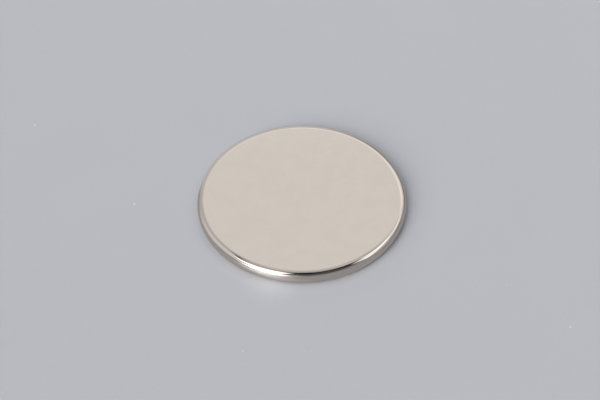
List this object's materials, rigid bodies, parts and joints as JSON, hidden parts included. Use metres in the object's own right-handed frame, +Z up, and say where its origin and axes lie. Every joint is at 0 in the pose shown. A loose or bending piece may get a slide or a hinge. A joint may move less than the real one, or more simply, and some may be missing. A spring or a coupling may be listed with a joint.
{
  "type": "disc magnet",
  "caption": "Thin plain disc magnet with rolled edges and bright plating; it clings to steel by either flat face or seats in a shallow round pocket.",
  "frame": {"origin": "centre of the bottom face, on the surface that the disc lies on", "axes": "+Z up along the disc's axis, from the bottom face to the top face; the disc is round, so X and Y are two radii at a right angle"},
  "size_m": [0.015, 0.015, 0.001],
  "materials": {
    "nickel_plating": "polished"
  },
  "bodies": {
    "root": {"magnet_disc": "nickel_plating"}
  },
  "joints": []
}
